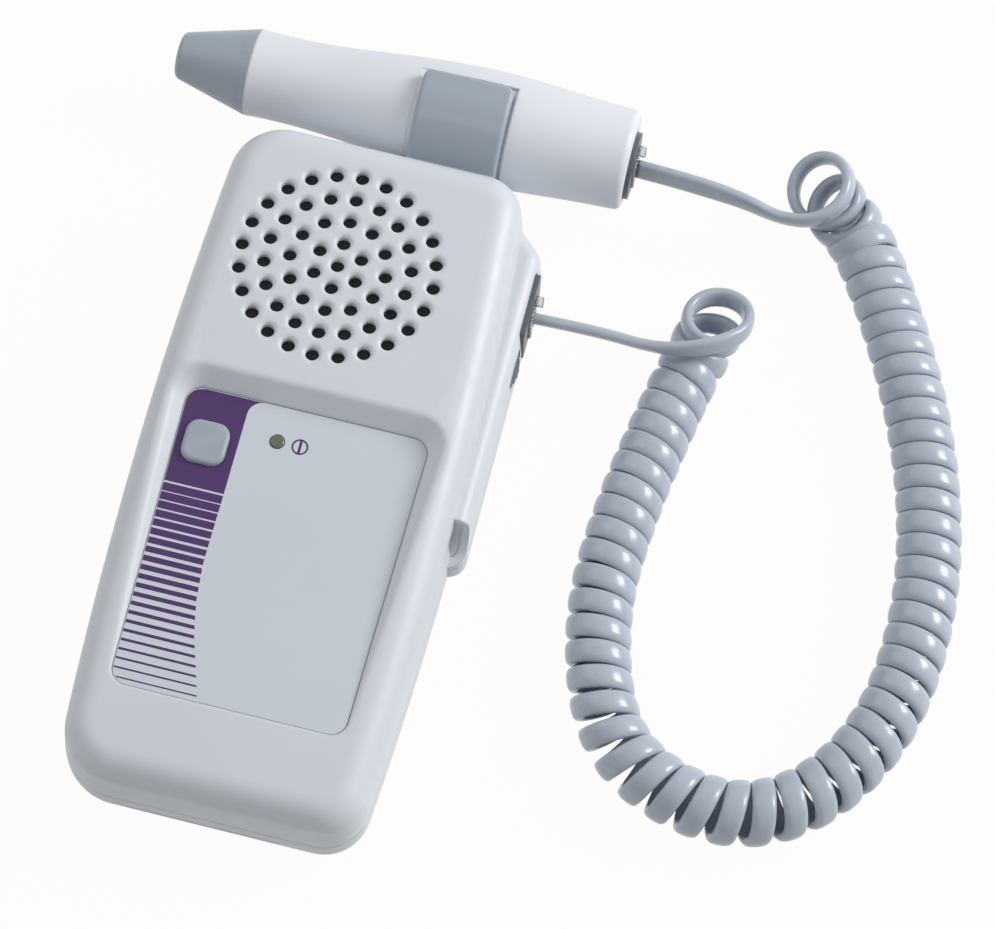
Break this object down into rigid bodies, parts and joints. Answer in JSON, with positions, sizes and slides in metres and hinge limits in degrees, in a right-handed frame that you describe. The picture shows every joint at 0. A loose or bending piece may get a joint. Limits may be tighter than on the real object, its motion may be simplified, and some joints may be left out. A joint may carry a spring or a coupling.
{
  "type": "fetal doppler monitor",
  "caption": "Handheld fetal heartbeat monitor with speaker grille, label pocket, power button, volume wheel, sliding battery door, and a clipped-on probe on a curly cord.",
  "frame": {"origin": "centre of the flat back of the housing", "axes": "+Z out of the front face, +Y towards the end that holds the probe, +X towards the side with the cord socket"},
  "size_m": [0.1842, 0.1709, 0.03],
  "materials": {
    "housing": "satin, finely textured",
    "screw": "zinc plated",
    "label": "satin printed overlay",
    "button": "satin",
    "black_plastic": "matt",
    "lamp": "diffused",
    "board": "solder mask",
    "capacitor": "sleeved can",
    "wheel": "knurled",
    "pressed_steel": "black",
    "magnet": "ferrite and plated yoke",
    "cone": "pressed paper",
    "foam": "soft",
    "cloth": "woven",
    "battery": "plain printed sleeve",
    "wire": "insulated",
    "jack": "moulded",
    "contact": "gold plated",
    "clear_plug": "clear moulded",
    "clip": "satin",
    "cord": "glossy",
    "tip": "satin",
    "lens": "smooth epoxy face",
    "crystal": "ceramic"
  },
  "bodies": {
    "unit": {"front_shell": "housing", "rear_shell": "housing", "case_screws": "screw", "front_label": "label", "power_switch": "black_plastic", "status_lamp": "lamp", "main_board": "board", "board_screws": "screw", "board_chips": "black_plastic", "board_capacitors": "capacitor", "volume_pot": "black_plastic", "speaker_frame": "pressed_steel", "speaker_magnet": "magnet", "speaker_cone": "cone", "speaker_gasket": "foam", "grille_cloth": "cloth", "battery_9v": "battery", "battery_snap": "black_plastic", "battery_leads": "wire", "speaker_leads": "wire", "unit_jack": "jack", "unit_jack_contacts": "contact", "unit_plug": "clear_plug", "unit_plug_contacts": "contact", "probe_clip": "clip", "clip_screws": "screw", "cord_coil": "cord", "cord_lead_unit": "cord", "cord_lead_probe": "cord"},
    "power_button": {"power_button": "button", "switch_plunger": "black_plastic"},
    "volume_wheel": {"volume_wheel": "wheel"},
    "battery_door": {"battery_door": "housing"},
    "probe": {"probe_sleeve": "housing", "probe_tip": "tip", "probe_lens": "lens", "transducer_crystals": "crystal", "crystal_backing": "foam", "probe_board": "board", "probe_chips": "black_plastic", "crystal_wires": "wire", "jack_wires": "wire", "probe_jack": "jack", "probe_jack_contacts": "contact", "probe_plug": "clear_plug", "probe_plug_contacts": "contact"}
  },
  "joints": [
    {"name": "power_press", "type": "slide", "parent": "unit", "child": "power_button", "axis": [0, 0, -1], "range_m": [0, 0.0008], "stiffness_N_per_m": 1500},
    {"name": "volume_turn", "type": "hinge", "parent": "unit", "child": "volume_wheel", "pos_m": [0.03005, 0.0349, 0.015], "axis": [0, 0, 1], "range_deg": [-140, 140]},
    {"name": "battery_door_slide", "type": "slide", "parent": "unit", "child": "battery_door", "axis": [0, -1, 0], "range_m": [0, 0.055]},
    {"name": "probe_lift", "type": "slide", "parent": "unit", "child": "probe", "axis": [0, 1, 0], "range_m": [0, 0.03]}
  ]
}
